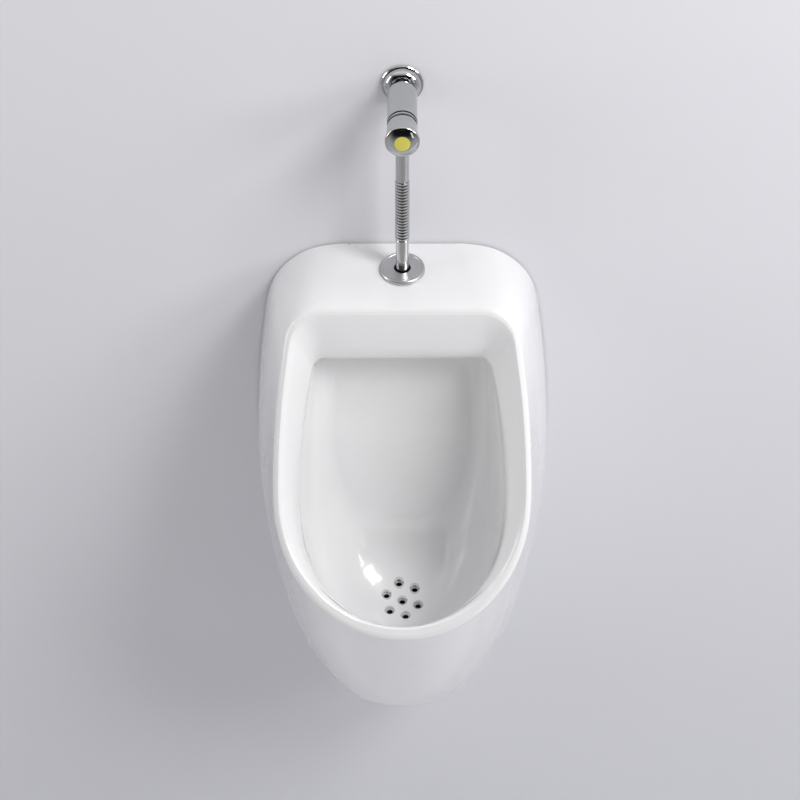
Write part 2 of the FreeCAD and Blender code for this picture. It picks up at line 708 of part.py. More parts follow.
def valve_body():
    """Turned brass body: neck for the inlet, inlet chamber, long bore and an outlet boss pointing down."""
    neck_bore = NIPPLE_RADIUS + THREAD_GAP
    shoulder = (BODY_RADIUS - NECK_RADIUS) / 2
    round_centre = (BODY_START, BODY_RADIUS - shoulder)
    outside = [(NECK_START, NECK_RADIUS), (BODY_START - shoulder, NECK_RADIUS)]
    outside = outside + bend(round_centre, (shoulder, shoulder), HALF_TURN, QUARTER_TURN)
    outside = outside + [(BODY_END, BODY_RADIUS)]
    inside = [
        (BODY_END, BORE_RADIUS),
        (SEAT_START, BORE_RADIUS),
        (SEAT_START, INLET_CHAMBER_RADIUS),
        (WEB_END, INLET_CHAMBER_RADIUS),
        (WEB_END, NIPPLE_BORE_RADIUS),
        (WEB_START, NIPPLE_BORE_RADIUS),
        (WEB_START, neck_bore),
        (NECK_START, neck_bore),
    ]
    body = turned(outside + inside, VALVE_Z)
    boss = upright(BOSS_RADIUS, PIPE_DEPTH, VALVE_Z - BOSS_DROP, VALVE_Z)
    boss = boss.cut(level(BORE_RADIUS, WEB_START, BODY_END, VALVE_Z))
    port = upright(OUTLET_BORE_RADIUS, PIPE_DEPTH, VALVE_Z - BOSS_DROP - OVERRUN, VALVE_Z)
    return body.fuse(boss).cut(port)


def inlet_nipple():
    """Tube that screws into the wall's supply and into the valve's neck."""
    end = NECK_START + NIPPLE_IN_BODY
    relief = NIPPLE_RADIUS - NIPPLE_RELIEF
    profile = [
        (-NIPPLE_IN_WALL, NIPPLE_BORE_RADIUS),
        (-NIPPLE_IN_WALL, NIPPLE_RADIUS - NIPPLE_LEAD),
        (NIPPLE_LEAD - NIPPLE_IN_WALL, NIPPLE_RADIUS),
        (0.0, NIPPLE_RADIUS),
        (0.0, relief),
        (NECK_START, relief),
        (NECK_START, NIPPLE_RADIUS),
        (end, NIPPLE_RADIUS),
        (end, NIPPLE_BORE_RADIUS),
    ]
    return turned(profile, VALVE_Z)


def inlet_filter():
    """Perforated disc that keeps grit out of the valve."""
    start = NECK_START + NIPPLE_IN_BODY
    disc = level(NIPPLE_RADIUS, start, start + FILTER_THICKNESS, VALVE_Z)
    ring = NIPPLE_BORE_RADIUS * FILTER_RING_SHARE
    for hole in range(FILTER_HOLES):
        angle = 2 * math.pi * hole / FILTER_HOLES
        x = ring * math.cos(angle)
        z = VALVE_Z + ring * math.sin(angle)
        disc = disc.cut(level(FILTER_HOLE_RADIUS, start - OVERRUN, start + OVERRUN, z, x))
    return disc


def wall_flange():
    """Domed cover plate that hides the hole in the wall, pressed from sheet with a stepped rim."""
    bore = NECK_RADIUS + SEAT_GAP
    step = FLANGE_RADIUS - FLANGE_RIM_WIDTH
    rise = FLANGE_HEIGHT - FLANGE_RIM
    reach = step - bore
    centre = (FLANGE_RIM, bore)
    bevel = FLANGE_RIM / 2
    outside = [(0.0, FLANGE_RADIUS), (bevel, FLANGE_RADIUS), (FLANGE_RIM, FLANGE_RADIUS - bevel)]
    dome = bend(centre, (rise, reach), QUARTER_TURN, FLANGE_DOME_ANGLE)
    inner = bend(centre, (rise - FLANGE_STEEL, reach - FLANGE_STEEL), FLANGE_DOME_ANGLE, QUARTER_TURN)
    profile = outside + dome + [(dome[-1][2], bore), (inner[0][0], bore)] + inner
    return turned(profile + [(0.0, step - FLANGE_STEEL)], VALVE_Z)


def seat_ring():
    """Brass seat with a raised lip that the plunger's washer closes on."""
    lip = SEAT_START - SEAT_LIP
    wide = INLET_CHAMBER_RADIUS - SEAT_GAP
    outer = BORE_RADIUS - THREAD_GAP
    raised = [(lip, SEAT_BORE_RADIUS), (lip, SEAT_BORE_RADIUS + SEAT_LIP), (SEAT_START, wide)]
    flat = [(SEAT_START, outer), (SEAT_END, outer), (SEAT_END, SEAT_BORE_RADIUS)]
    return turned(raised + flat, VALVE_Z)


def seat_cage():
    """Windowed sleeve that holds the seat down and lets the water out to the boss."""
    outer = BORE_RADIUS - THREAD_GAP
    inner = BORE_RADIUS - CAGE_WALL
    sleeve = level(outer, SEAT_END, CAGE_END, VALVE_Z).cut(level(inner, SEAT_END, CAGE_END, VALVE_Z))
    middle = (SEAT_END + CAGE_END) / 2
    half = CAGE_LENGTH / 2 - CAGE_WALL
    corner = V(0, -middle - half, VALVE_Z - CAGE_WINDOW_WIDTH / 2)
    window = Part.makeBox(2 * outer, 2 * half, CAGE_WINDOW_WIDTH, corner)
    for turn in range(CAGE_WINDOWS):
        cutter = window.copy()
        cutter.rotate(V(0, 0, VALVE_Z), Y_AXIS, turn * FULL_TURN / CAGE_WINDOWS)
        sleeve = sleeve.cut(cutter)
    return sleeve


def bonnet():
    """Bonnet that screws into the body: dash chamber behind, gland in the middle, button's sleeve in front."""
    outer = BORE_RADIUS - THREAD_GAP
    inner_sleeve = SLEEVE_RADIUS - SLEEVE_WALL
    stem_bore = STEM_RADIUS + RUNNING_GAP
    groove = STEM_RADIUS + SEAL_WIDTH
    groove_start = GLAND_START + (GLAND_LENGTH - SEAL_WIDTH) / 2
    profile = [
        (CAGE_END, DASH_RADIUS),
        (CAGE_END, outer),
        (COLLAR_START - BONNET_GASKET, outer),
        (COLLAR_START, outer),
        (COLLAR_START, COLLAR_RADIUS),
        (COLLAR_END, COLLAR_RADIUS),
        (COLLAR_END, SLEEVE_RADIUS),
        (SLEEVE_END, SLEEVE_RADIUS),
        (SLEEVE_END, inner_sleeve),
        (GLAND_END, inner_sleeve),
        (GLAND_END, stem_bore),
        (groove_start + SEAL_WIDTH, stem_bore),
        (groove_start + SEAL_WIDTH, groove),
        (groove_start, groove),
        (groove_start, stem_bore),
        (GLAND_START, stem_bore),
        (GLAND_START, DASH_RADIUS),
    ]
    return turned(profile, VALVE_Z)


def ring(start, length, inner, outer):
    """Plain ring on the valve's axis."""
    return level(outer, start, start + length, VALVE_Z).cut(level(inner, start, start + length, VALVE_Z))


def bonnet_gasket():
    """Rubber ring between the body and the bonnet's collar."""
    return ring(BODY_END, BONNET_GASKET, BORE_RADIUS + THREAD_GAP, SLEEVE_RADIUS)


def stem_seal():
    """Rubber ring in the gland's groove round the stem."""
    start = GLAND_START + (GLAND_LENGTH - SEAL_WIDTH) / 2
    centre = V(STEM_RADIUS + SEAL_WIDTH / 2, -start - SEAL_WIDTH / 2, VALVE_Z)
    section = Part.Face(Part.Wire([Part.makeCircle(SEAL_WIDTH / 2 - THREAD_GAP, centre, Z_AXIS)]))
    return section.revolve(V(0, 0, VALVE_Z), Y_AXIS, FULL_TURN)


def stem():
    """Rod from the poppet through the seat, piston and gland to the button, tapped for the button's screw."""
    tapped = STEM_END - SCREW_LENGTH + (BUTTON_WEB_END - BUTTON_WEB_START)
    tap = SCREW_RADIUS + THREAD_GAP
    profile = [(POPPET_START, 0.0), (POPPET_START, STEM_RADIUS), (STEM_END, STEM_RADIUS), (STEM_END, tap)]
    return turned(profile + [(tapped, tap), (tapped, 0.0)], VALVE_Z)


def poppet():
    """Brass cup that holds the sealing washer on the stem's inner end."""
    bore = STEM_RADIUS + THREAD_GAP
    floor = POPPET_START + POPPET_BASE
    rim = floor + WASHER_THICKNESS / 2
    cup = WASHER_RADIUS + THREAD_GAP
    outside = [(POPPET_START, bore), (POPPET_START, POPPET_RADIUS), (rim, POPPET_RADIUS)]
    return turned(outside + [(rim, cup), (floor, cup), (floor, bore)], VALVE_Z)


def poppet_washer():
    """Rubber washer that closes on the seat."""
    start = POPPET_START + POPPET_BASE
    return ring(start, WASHER_THICKNESS, STEM_RADIUS + THREAD_GAP, WASHER_RADIUS)


def dash_piston():
    """Piston on the stem that slows the valve's return."""
    return ring(PISTON_START, PISTON_LENGTH, STEM_RADIUS + THREAD_GAP, DASH_RADIUS - RUNNING_GAP)


def piston_cup():
    """Rubber cup seal in front of the dash piston."""
    start = PISTON_START + PISTON_LENGTH
    outer = DASH_RADIUS - RUNNING_GAP
    inner = STEM_RADIUS + THREAD_GAP
    end = start + CUP_LENGTH
    floor = start + CUP_FLOOR
    outer_lip = [(start, inner), (start, outer), (end, outer), (end, outer - SEAL_LIP)]
    groove = [(floor, outer - 2 * SEAL_LIP), (floor, inner + SEAL_LIP)]
    inner_lip = [(end, inner + SEAL_LIP), (end, inner)]
    return turned(outer_lip + groove + inner_lip, VALVE_Z)


def button_cap():
    """Chrome push button: skirt over the bonnet's sleeve, flared cheek and domed face with a recess."""
    bore = SLEEVE_RADIUS + SLIDING_GAP
    hole = SCREW_RADIUS + THREAD_GAP
    recess = DISC_RADIUS + THREAD_GAP
    edge = BUTTON_RADIUS - BUTTON_ROUND
    flare = BUTTON_END - BUTTON_DOME - BUTTON_ROUND
    outside = [
        (BUTTON_START, bore),
        (BUTTON_START, bore + BUTTON_WALL),
        (BUTTON_START + BUTTON_CHEEK, bore + BUTTON_WALL),
        (flare - BUTTON_ROUND, BUTTON_RADIUS),
    ]
    outside = outside + bend((flare, edge), (BUTTON_ROUND, BUTTON_ROUND), QUARTER_TURN, BUTTON_EDGE_ANGLE)
    dome = bend((flare, 0.0), (BUTTON_END - flare, edge + BUTTON_ROUND / 2), *BUTTON_DOME_ANGLES)
    profile = outside + dome + [
        (dome[-1][2], recess),
        (DISC_START, recess),
        (DISC_START, SCREW_HEAD_RADIUS + SEAT_GAP),
        (BUTTON_WEB_END, SCREW_HEAD_RADIUS + SEAT_GAP),
        (BUTTON_WEB_END, hole),
        (BUTTON_WEB_START, hole),
        (BUTTON_WEB_START, bore),
    ]
    return turned(profile, VALVE_Z)


def button_disc():
    """Plain coloured disc let into the button's face, slightly crowned."""
    edge = DISC_START + DISC_DEPTH
    front = edge + DISC_CROWN
    sphere = (DISC_RADIUS ** 2 + DISC_CROWN ** 2) / (2 * DISC_CROWN)
    fall = sphere - math.sqrt(sphere ** 2 - (DISC_RADIUS / 2) ** 2)
    crown = (front - fall, DISC_RADIUS / 2, front, 0.0)
    return turned([(DISC_START, 0.0), (DISC_START, DISC_RADIUS), (edge, DISC_RADIUS), crown], VALVE_Z)


def button_screw():
    """Screw that holds the button on the stem, under the coloured disc."""
    head = BUTTON_WEB_END + SCREW_HEAD
    tip = BUTTON_WEB_END - SCREW_LENGTH
    shank = [(tip, 0.0), (tip, SCREW_RADIUS), (BUTTON_WEB_END, SCREW_RADIUS)]
    cap = [(BUTTON_WEB_END, SCREW_HEAD_RADIUS), (head, SCREW_HEAD_RADIUS), (head, 0.0)]
    return turned(shank + cap, VALVE_Z)


def biarc(start, start_way, end, end_way):
    """Two arcs that leave the start and reach the end along the given directions."""
    span = end - start
    both = start_way + end_way
    slope = span.dot(both)
    spread = 2 * (1 - start_way.dot(end_way))
    reach = (math.sqrt(slope ** 2 + spread * span.dot(span)) - slope) / spread
    joint = (start + start_way * reach + end - end_way * reach) * 0.5
    return [arc_from(start, start_way, joint), arc_from(joint, (joint - start - start_way * reach), end)]


def arc_from(start, way, end):
    """Arc that leaves the start along a direction and ends at a point."""
    chord = end - start
    along = V(way)
    along.normalize()
    normal = along.cross(chord).cross(along)
    normal.normalize()
    radius = chord.dot(chord) / (2 * chord.dot(normal))
    centre = start + normal * radius
    middle = (start - centre) + (end - centre)
    middle.normalize()
    return Part.Arc(start, centre + middle * radius, end).toShape()


def helix_wire(radius, start, end, turns):
    """Coil about the valve's axis as one wire of arcs, two for each quarter turn."""
    rise = (end - start) / (2 * math.pi * turns)
    quarters = 4 * turns
    places = []
    ways = []
    for quarter in range(quarters + 1):
        angle = math.pi / 2 * quarter
        places.append(V(radius * math.cos(angle), -start - rise * angle, VALVE_Z + radius * math.sin(angle)))
        way = V(-radius * math.sin(angle), -rise, radius * math.cos(angle))
        way.normalize()
        ways.append(way)
    edges = []
    for quarter in range(quarters):
        edges = edges + biarc(places[quarter], ways[quarter], places[quarter + 1], ways[quarter + 1])
    return Part.Wire(edges), places[0], ways[0]


def coil_spring(radius, wire, start, end, turns):
    """Round-wire spring about the valve's axis, whose wire keeps between the start and the end."""
    path, first, way = helix_wire(radius, start + wire / 2, end - wire / 2, turns)
    pitch = (end - start - wire) / turns
    lead = math.atan2(pitch, 2 * math.pi * radius)
    print("least gap between the spring's turns:", round(pitch * math.cos(lead) - wire, 2), "mm")
    section = Part.Wire([Part.makeCircle(wire / 2, first, way)])
    return path.makePipeShell([section], True, False)


def button_spring():
    """Spring between the bonnet and the button."""
    return coil_spring(
        BUTTON_SPRING_RADIUS,
        BUTTON_SPRING_WIRE,
        GLAND_END + SEAT_GAP,
        BUTTON_WEB_START - SEAT_GAP,
        BUTTON_SPRING_TURNS,
    )


def poppet_spring():
    """Spring that closes the poppet on its seat."""
    return coil_spring(
        POPPET_SPRING_RADIUS,
        POPPET_SPRING_WIRE,
        WEB_END + SEAT_GAP,
        POPPET_START - SEAT_GAP,
        POPPET_SPRING_TURNS,
    )


def waste_pipe():
    """Waste tailpiece from the ceramic's horn to the wall, with a collar in front of the wall ring."""
    start = -WASTE_IN_WALL
    end = HORN_MOUTH_DEPTH + WASTE_IN_HORN
    bore = WASTE_RADIUS - WASTE_WALL
    spigot = WASTE_RADIUS - SPIGOT_STEP
    collar = WALL_RING_THICKNESS + SEAT_GAP
    profile = [
        (start, bore),
        (start, spigot),
        (0.0, spigot),
        (0.0, WASTE_RADIUS),
        (collar, WASTE_RADIUS),
        (collar, WASTE_COLLAR_RADIUS),
        (collar + WASTE_COLLAR, WASTE_COLLAR_RADIUS),
        (collar + WASTE_COLLAR, WASTE_RADIUS),
        (end, WASTE_RADIUS),
        (end, bore),
    ]
    return turned(profile, HORN_Z)


def waste_seal():
    """Lipped rubber ring between the tailpiece and the ceramic's horn."""
    start = HORN_MOUTH_DEPTH - SEAL_FLANGE
    inner = WASTE_RADIUS + THREAD_GAP
    outer = HORN_RADIUS - THREAD_GAP
    end = HORN_MOUTH_DEPTH + WASTE_SEAL_LENGTH
    profile = [
        (start, inner),
        (start, HORN_RADIUS + SEAL_FLANGE),
        (HORN_MOUTH_DEPTH - SEAT_GAP, HORN_RADIUS + SEAL_FLANGE),
        (HORN_MOUTH_DEPTH - SEAT_GAP, outer),
        (end, outer),
        (end, inner),
    ]
    return turned(profile, HORN_Z)


def wall_ring():
    """Rubber ring between the tailpiece's collar and the wall."""
    inner = WASTE_RADIUS + THREAD_GAP
    bevel = WALL_RING_THICKNESS / 2
    profile = [
        (0.0, inner),
        (0.0, WALL_RING_RADIUS),
        (bevel, WALL_RING_RADIUS),
        (WALL_RING_THICKNESS, WALL_RING_RADIUS - bevel),
        (WALL_RING_THICKNESS, inner),
    ]
    return turned(profile, HORN_Z)


PIECES = {
    "ceramic_body": ceramic_body,
    "hanger_bracket_left": lambda: hanger_bracket(-1),
    "hanger_bracket_right": lambda: hanger_bracket(1),
    "hanger_liners": hanger_liners,
    "deck_cover": deck_cover,
    "inlet_seal": inlet_seal,
    "flush_pipe": flush_pipe,
    "pipe_gasket": pipe_gasket,
    "coupling_nut": coupling_nut,
    "valve_body": valve_body,
    "inlet_nipple": inlet_nipple,
    "inlet_filter": inlet_filter,
    "wall_flange": wall_flange,
    "seat_ring": seat_ring,
    "seat_cage": seat_cage,
    "bonnet": bonnet,
    "bonnet_gasket": bonnet_gasket,
    "stem_seal": stem_seal,
    "stem": stem,
    "poppet": poppet,
    "poppet_washer": poppet_washer,
    "poppet_spring": poppet_spring,
    "dash_piston": dash_piston,
    "piston_cup": piston_cup,
    "button_cap": button_cap,
    "button_disc": button_disc,
    "button_screw": button_screw,
    "button_spring": button_spring,
    "waste_pipe": waste_pipe,
    "waste_seal": waste_seal,
    "wall_ring": wall_ring,
}


def write_pieces():
    """Write every piece to its own file."""
    os.makedirs("parts", exist_ok=True)
    for name, make in PIECES.items():
        shape = make()
        shape.exportStep("parts/" + name + ".step")
        state = "valid" if shape.isValid() else "NOT VALID"
        print(name, len(shape.Solids), "solid", round(shape.Volume), "mm3", state)


write_pieces()
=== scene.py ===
# %% [markdown]
# # A wall-hung urinal with a push-button flush valve
# The real thing is one large glazed casting on the wall, with a small chrome valve above it and a thin
# pipe between the two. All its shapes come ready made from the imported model, so this lesson is about
# light and surfaces: white glaze, chrome, brushed steel, brass, rubber and plastic.
# Everything is in metres. The wall is the plane Y = 0, Z is up and the bowl opens towards -Y.

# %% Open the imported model
import bpy
import json
import math
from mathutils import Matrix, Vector


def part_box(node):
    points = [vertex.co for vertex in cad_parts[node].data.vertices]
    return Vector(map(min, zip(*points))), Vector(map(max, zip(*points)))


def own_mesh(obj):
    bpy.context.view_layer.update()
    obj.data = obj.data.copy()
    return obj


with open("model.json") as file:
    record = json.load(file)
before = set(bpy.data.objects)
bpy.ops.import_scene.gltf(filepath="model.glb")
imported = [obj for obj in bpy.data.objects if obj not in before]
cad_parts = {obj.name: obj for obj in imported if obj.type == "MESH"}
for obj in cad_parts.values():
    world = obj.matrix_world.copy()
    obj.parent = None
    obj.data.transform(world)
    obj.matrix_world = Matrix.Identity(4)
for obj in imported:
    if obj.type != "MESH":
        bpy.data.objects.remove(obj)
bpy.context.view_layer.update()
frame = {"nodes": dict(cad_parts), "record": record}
nodes = frame["nodes"]

# %% [markdown]
# ## Places that the finishes need
# Turned and brushed metal shows fine rings round the axis it was turned on, so those finishes have to
# know where each axis runs. Numbers copied from the drawing would do, but they would be wrong as soon
# as the model changed. The boxes of the nodes give the axes, so nothing is measured twice.

# %% Read the axes off the nodes


def middle_of(name):
    """Middle of a node's box."""
    low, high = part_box(name)
    return (low + high) / 2


valve_axis = middle_of("valve_body")
valve_axis.z = middle_of("button_cap").z
cover_centre = middle_of("deck_cover")
pipe_axis = middle_of("flush_pipe")
print("valve axis at", [round(c, 3) for c in valve_axis])

# %% [markdown]
# ## The camera
# The photo looks down at the wall at about forty degrees through a long lens. A long lens far away
# keeps the sides of the body nearly parallel, and a near one would spread them. The lens's length is
# written in pixels of the photo, because it was fitted there, and is turned into millimetres here.
# The picture's middle lies a hair beside the middle of the body, which the lens's shift takes up.

# %% Set up the camera
PICTURE_SIZE = 800
LENS_PIXELS = 2300
SENSOR_WIDTH = 36.0
LOOKING_DOWN = math.radians(39.5)
BODY_MIDDLE_X = 402.3
CAMERA_PLACE = (0.0, -2.3111, 1.7421)

camera_data = bpy.data.cameras.new("camera")
camera_data.sensor_width = SENSOR_WIDTH
camera_data.lens = SENSOR_WIDTH * LENS_PIXELS / PICTURE_SIZE
camera_data.shift_x = (PICTURE_SIZE / 2 - BODY_MIDDLE_X) / PICTURE_SIZE
camera = bpy.data.objects.new("camera", camera_data)
bpy.context.scene.collection.objects.link(camera)
camera.location = CAMERA_PLACE
camera.rotation_euler = (math.pi / 2 - LOOKING_DOWN, 0.0, 0.0)
bpy.context.scene.camera = camera
print("lens", round(camera_data.lens, 1), "mm")

# %% [markdown]
# ## Shader helpers
# A material is a small graph, and each node and link of it takes a line of code. Four helpers keep the
# cells below short. One adds a node and sets its inputs, and one starts a material with its Principled
# shader. The other two start a node group, which is an effect that many materials share, and place it.

# %% Helpers for nodes and materials


def add(tree, kind, **values):
    """New node, with its inputs set or linked by name and its own settings by attribute."""
    node = tree.nodes.new(kind)
    for name, value in values.items():
        socket_name = name.replace("_", " ")
        if hasattr(node, name) and socket_name not in node.inputs:
            setattr(node, name, value)
        elif isinstance(value, bpy.types.NodeSocket):
            tree.links.new(value, node.inputs[socket_name])
        else:
            node.inputs[socket_name].default_value = value
    return node


def start_material(name, colour, roughness, metallic=0.0):
    """New material with a Principled shader: returns the material, its tree and the shader."""
    material = bpy.data.materials.new(name)
    material.use_nodes = True
    tree = material.node_tree
    shader = tree.nodes["Principled BSDF"]
    shader.inputs["Base Color"].default_value = (*colour, 1.0)
    shader.inputs["Roughness"].default_value = roughness
    shader.inputs["Metallic"].default_value = metallic
    return material, tree, shader


def start_group(name, inputs, outputs):
    """New node group with named sockets: returns the group, its input node and its output node."""
    group = bpy.data.node_groups.new(name, "ShaderNodeTree")
    for label, kind, value in inputs:
        socket = group.interface.new_socket(label, in_out="INPUT", socket_type=kind)
        socket.default_value = value
    for label, kind in outputs:
        group.interface.new_socket(label, in_out="OUTPUT", socket_type=kind)
    return group, group.nodes.new("NodeGroupInput"), group.nodes.new("NodeGroupOutput")


def use_group(tree, group, **values):
    """Place a node group in a material with its own values."""
    node = tree.nodes.new("ShaderNodeGroup")
    node.node_tree = group
    for name, value in values.items():
        node.inputs[name.replace("_", " ")].default_value = value
    return node


FLOAT = "NodeSocketFloat"
COLOUR = "NodeSocketColor"
VECTOR = "NodeSocketVector"
print("helpers ready")

# %% [markdown]
# ## Mixing two colours or two values
# A Mix node carries one set of sockets for each kind of data, all with the same names, so a name would
# find the wrong one. The sockets have to be picked by number, and this is the one place that says so.

# %% Helper for Mix nodes
# Numbers of the first input, the second input and the output, for each kind of data
MIX_SOCKETS = {"RGBA": (6, 7, 2), "FLOAT": (2, 3, 0)}


def mix(tree, kind, factor, first, second):
    """Mix of two linked or plain inputs by a linked factor: returns the output socket."""
    first_socket, second_socket, output = MIX_SOCKETS[kind]
    node = tree.nodes.new("ShaderNodeMix")
    node.data_type = kind
    tree.links.new(factor, node.inputs[0])
    for number, value in ((first_socket, first), (second_socket, second)):
        if isinstance(value, bpy.types.NodeSocket):
            tree.links.new(value, node.inputs[number])
        else:
            node.inputs[number].default_value = value
    return node.outputs[output]


print("mixes:", list(MIX_SOCKETS))

# %% [markdown]
# ## An effect for every smooth surface: slow waves
# No glaze, chrome or moulding is truly flat. A little slow noise in the height makes highlights bend
# as they do on real ware. Moving the mesh would do the same, but the solids' shapes are not to change,
# so the bend lives in the shading. It is a node group, and each material asks for its own size of wave.

# %% Group: slow waves
waves, group_in, group_out = start_group(
    "slow waves",
    [("Size", FLOAT, 0.05), ("Detail", FLOAT, 1.0)],
    [("Height", FLOAT)],
)
place = add(waves, "ShaderNodeTexCoord")
waves_scale = add(waves, "ShaderNodeMath", operation="DIVIDE")
waves_scale.inputs[0].default_value = 1.0
waves.links.new(group_in.outputs["Size"], waves_scale.inputs[1])
waves_noise = add(waves, "ShaderNodeTexNoise", Vector=place.outputs["Object"], Roughness=0.4)
waves.links.new(waves_scale.outputs[0], waves_noise.inputs["Scale"])
waves.links.new(group_in.outputs["Detail"], waves_noise.inputs["Detail"])
waves.links.new(waves_noise.outputs["Fac"], group_out.inputs["Height"])
print("group:", waves.name)

# %% [markdown]
# ## An effect for every colour: uneven tone
# A real surface is never one colour. This group drifts between two close tones over the surface. A
# noise tells them apart, and the sharpness squeezes its soft middle into clearer patches. The mask
# comes out as well, for materials that also want their roughness to drift.

# %% Group: uneven tone
tone, group_in, group_out = start_group(
    "uneven tone",
    [
        ("Tone", COLOUR, (1, 1, 1, 1)),
        ("Other tone", COLOUR, (1, 1, 1, 1)),
        ("Size", FLOAT, 0.05),
        ("Sharpness", FLOAT, 0.5),
    ],
    [("Color", COLOUR), ("Mask", FLOAT)],
)
place = add(tone, "ShaderNodeTexCoord")
tone_scale = add(tone, "ShaderNodeMath", operation="DIVIDE")
tone_scale.inputs[0].default_value = 1.0
tone.links.new(group_in.outputs["Size"], tone_scale.inputs[1])
tone_noise = add(tone, "ShaderNodeTexNoise", Vector=place.outputs["Object"], Detail=3.0, Roughness=0.55)
tone.links.new(tone_scale.outputs[0], tone_noise.inputs["Scale"])
# Each end of the ramp closes in on the middle by half the sharpness
tone_low = add(tone, "ShaderNodeMath", operation="MULTIPLY")
tone_low.inputs[1].default_value = 0.5
tone.links.new(group_in.outputs["Sharpness"], tone_low.inputs[0])
tone_high = add(tone, "ShaderNodeMath", operation="SUBTRACT")
tone_high.inputs[0].default_value = 1.0
tone.links.new(tone_low.outputs[0], tone_high.inputs[1])
tone_mask = add(tone, "ShaderNodeMapRange", interpolation_type="SMOOTHSTEP")
tone.links.new(tone_noise.outputs["Fac"], tone_mask.inputs["Value"])
tone.links.new(tone_low.outputs[0], tone_mask.inputs["From Min"])
tone.links.new(tone_high.outputs[0], tone_mask.inputs["From Max"])
mask = tone_mask.outputs["Result"]
drifting = mix(tone, "RGBA", mask, group_in.outputs["Tone"], group_in.outputs["Other tone"])
tone.links.new(drifting, group_out.inputs["Color"])
tone.links.new(mask, group_out.inputs["Mask"])
print("group:", tone.name)

# %% [markdown]
# ## An effect for turned metal: fine rings
# A lathe leaves rings round the axis, and so does brushing a disc while it spins. The group takes the
# axis's place and direction, measures how far along it and away from it each point lies, and runs a
# noise along those two lengths alone. So the grain goes round the piece and never across it. A
# picture of rings would need every mesh unwrapped first, and this needs no unwrapping.

# %% Group: turned rings
rings, group_in, group_out = start_group(
    "turned rings",
    [("Centre", VECTOR, (0, 0, 0)), ("Axis", VECTOR, (0, 1, 0)), ("Ring width", FLOAT, 0.0004)],
    [("Height", FLOAT), ("Away", FLOAT)],
)
place = add(rings, "ShaderNodeTexCoord")
offset = add(rings, "ShaderNodeVectorMath", operation="SUBTRACT")
rings.links.new(place.outputs["Object"], offset.inputs[0])
rings.links.new(group_in.outputs["Centre"], offset.inputs[1])
along = add(rings, "ShaderNodeVectorMath", operation="DOT_PRODUCT")
rings.links.new(offset.outputs[0], along.inputs[0])
rings.links.new(group_in.outputs["Axis"], along.inputs[1])
across = add(rings, "ShaderNodeVectorMath", operation="CROSS_PRODUCT")
rings.links.new(offset.outputs[0], across.inputs[0])
rings.links.new(group_in.outputs["Axis"], across.inputs[1])
away = add(rings, "ShaderNodeVectorMath", operation="LENGTH")
rings.links.new(across.outputs[0], away.inputs[0])
both = add(rings, "ShaderNodeCombineXYZ")
rings.links.new(along.outputs["Value"], both.inputs["X"])
rings.links.new(away.outputs["Value"], both.inputs["Y"])
rings_scale = add(rings, "ShaderNodeMath", operation="DIVIDE")
rings_scale.inputs[0].default_value = 1.0
rings.links.new(group_in.outputs["Ring width"], rings_scale.inputs[1])
rings_noise = add(rings, "ShaderNodeTexNoise", Vector=both.outputs[0], Detail=2.0, Roughness=0.6)
rings.links.new(rings_scale.outputs[0], rings_noise.inputs["Scale"])
rings.links.new(rings_noise.outputs["Fac"], group_out.inputs["Height"])
rings.links.new(away.outputs["Value"], group_out.inputs["Away"])
print("group:", rings.name)

# %% [markdown]
# ## White glaze
# Sanitary glaze is a thin layer of glass over a white clay body. A plain glossy white would do from
# far away. The shader follows the real layers instead: a white, slightly rough body under a clear sharp
# coat. Slow waves bend the broad sheen under the coat, and the white drifts a little towards grey, as
# it does where the glaze is thinner.

# %% Material: white glaze
GLAZE_WHITE = (0.89, 0.89, 0.896)
GLAZE_THIN = (0.86, 0.86, 0.868)
CLAY_ROUGH = 0.22
CLAY_SPECULAR = 0.35
COAT_ROUGH = 0.06
GLASS_IOR = 1.52

glaze, tree, shader = start_material("white glaze", GLAZE_WHITE, CLAY_ROUGH)
shader.inputs["Coat Weight"].default_value = 1.0
shader.inputs["Coat Roughness"].default_value = COAT_ROUGH
shader.inputs["Coat IOR"].default_value = GLASS_IOR
shader.inputs["Specular IOR Level"].default_value = CLAY_SPECULAR
glaze_tones = {"Tone": (*GLAZE_WHITE, 1), "Other tone": (*GLAZE_THIN, 1)}
glaze_tone = use_group(tree, tone, **glaze_tones, Size=0.16, Sharpness=0.4)
tree.links.new(glaze_tone.outputs["Color"], shader.inputs["Base Color"])
glaze_waves = use_group(tree, waves, Size=0.035, Detail=1.0)
glaze_height = glaze_waves.outputs["Height"]
glaze_bump = add(tree, "ShaderNodeBump", Strength=0.2, Distance=0.002, Height=glaze_height)
tree.links.new(glaze_bump.outputs["Normal"], shader.inputs["Normal"])
print("material:", glaze.name)

# %% [markdown]
# ## Painted shade in the strainer's holes
# The seven holes in the bowl's floor are painted near black inside and grey on their bevels: painted
# shade for the deep bores and for the bevels' edges. Dark discs laid in the holes would be pieces that
# the real thing hasn't, so the glaze itself changes tone there. The holes' places follow the same ring
# as in the solids. For every point of the surface the loop keeps the shortest distance to a hole's
# axis, and two ramps turn that one number into both tones. Height limits keep them off the brow above.

# %% Painted shade round the strainer's holes
DRAIN_DEPTH = 0.1456
STRAINER_LOW = -0.3990
STRAINER_HIGH = -0.3590
DRAIN_RING_RADIUS = 0.0218
DRAIN_HOLES = 6
DRAIN_TURN = math.radians(11.6)
BORE_RADIUS = 0.0035
BEVEL_RADIUS = 0.0064
EDGE_BLUR = 0.0005
# Painted shade: near black in the bores and grey on the bevels
BORE_PAINTED_SHADE = (0.012, 0.012, 0.012, 1)
BEVEL_PAINTED_SHADE = (0.6, 0.6, 0.605, 1)


